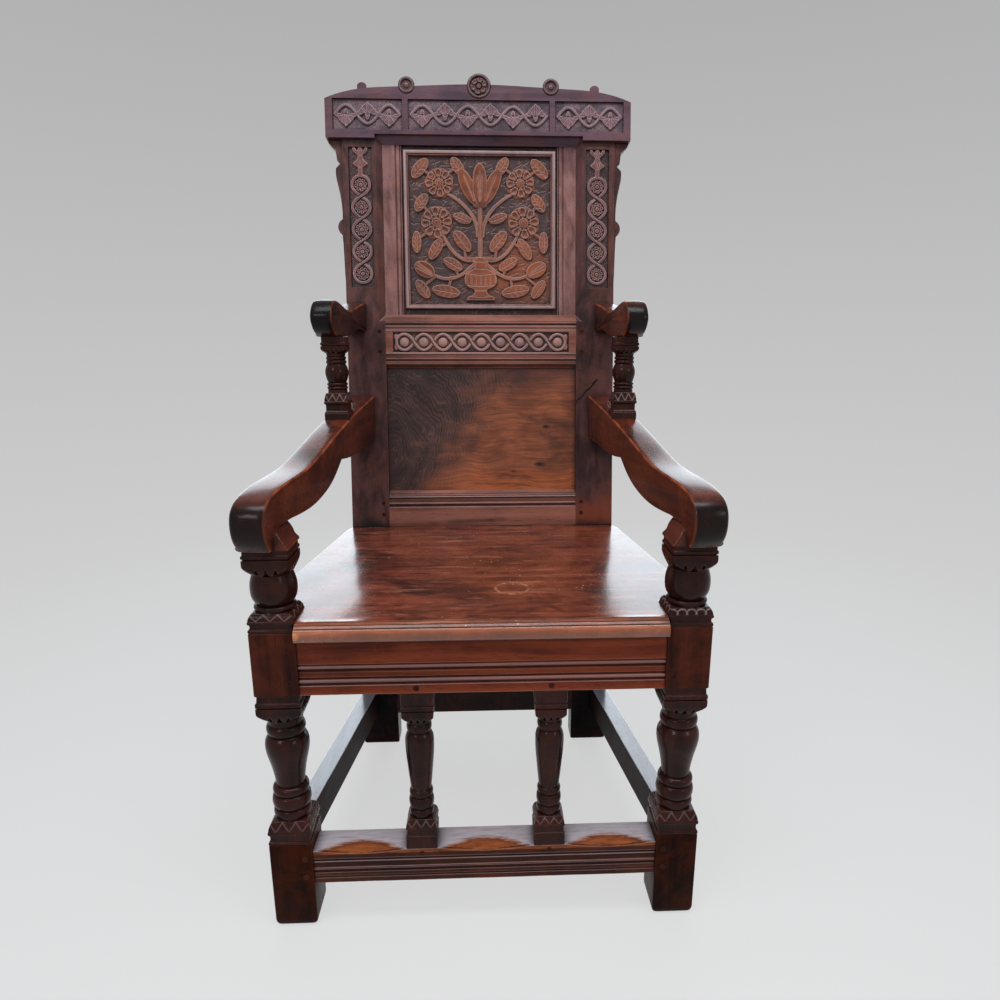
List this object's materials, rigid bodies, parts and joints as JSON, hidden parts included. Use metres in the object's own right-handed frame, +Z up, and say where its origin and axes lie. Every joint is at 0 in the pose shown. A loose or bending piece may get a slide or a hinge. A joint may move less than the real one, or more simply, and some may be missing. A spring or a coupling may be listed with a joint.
{
  "type": "wainscot chair",
  "caption": "Joined armchair with a carved panelled back, turned front posts, sawn arms and short upper arms on small turned columns.",
  "frame": {"origin": "on the floor, under the middle of the overall bounding box", "axes": "+Z up, the sitter faces -Y, X across the chair"},
  "size_m": [0.622, 0.668, 1.2947],
  "materials": {
    "oak_frame": "waxed",
    "oak_turned": "waxed",
    "oak_panel": "waxed",
    "oak_moulding": "waxed",
    "oak_seat": "polished by wear",
    "oak_peg": "waxed"
  },
  "bodies": {
    "root": {"front_post_left": "oak_turned", "front_post_right": "oak_turned", "rear_stile_left": "oak_frame", "rear_stile_right": "oak_frame", "front_seat_rail": "oak_frame", "front_stretcher": "oak_frame", "front_spindle_left": "oak_turned", "front_spindle_right": "oak_turned", "side_seat_rail_left": "oak_frame", "side_seat_rail_right": "oak_frame", "side_stretcher_left": "oak_frame", "side_stretcher_right": "oak_frame", "rear_seat_rail": "oak_frame", "rear_stretcher": "oak_frame", "seat_board": "oak_seat", "lower_back_rail": "oak_frame", "mid_rail": "oak_frame", "muntin_left": "oak_moulding", "muntin_right": "oak_moulding", "lower_panel": "oak_panel", "carved_panel": "oak_panel", "panel_moulding_top": "oak_moulding", "panel_moulding_bottom": "oak_moulding", "panel_moulding_left": "oak_moulding", "panel_moulding_right": "oak_moulding", "crest_rail": "oak_frame", "crest_roundel_centre": "oak_turned", "crest_roundel_left": "oak_turned", "crest_roundel_right": "oak_turned", "crest_knob_left": "oak_turned", "crest_knob_right": "oak_turned", "earpiece_left": "oak_frame", "earpiece_right": "oak_frame", "arm_left": "oak_frame", "arm_right": "oak_frame", "wing_column_left": "oak_turned", "wing_column_right": "oak_turned", "wing_arm_left": "oak_frame", "wing_arm_right": "oak_frame", "pegs_front_joints": "oak_peg", "pegs_spindles": "oak_peg", "pegs_back": "oak_peg", "pegs_arms": "oak_peg"}
  },
  "joints": []
}
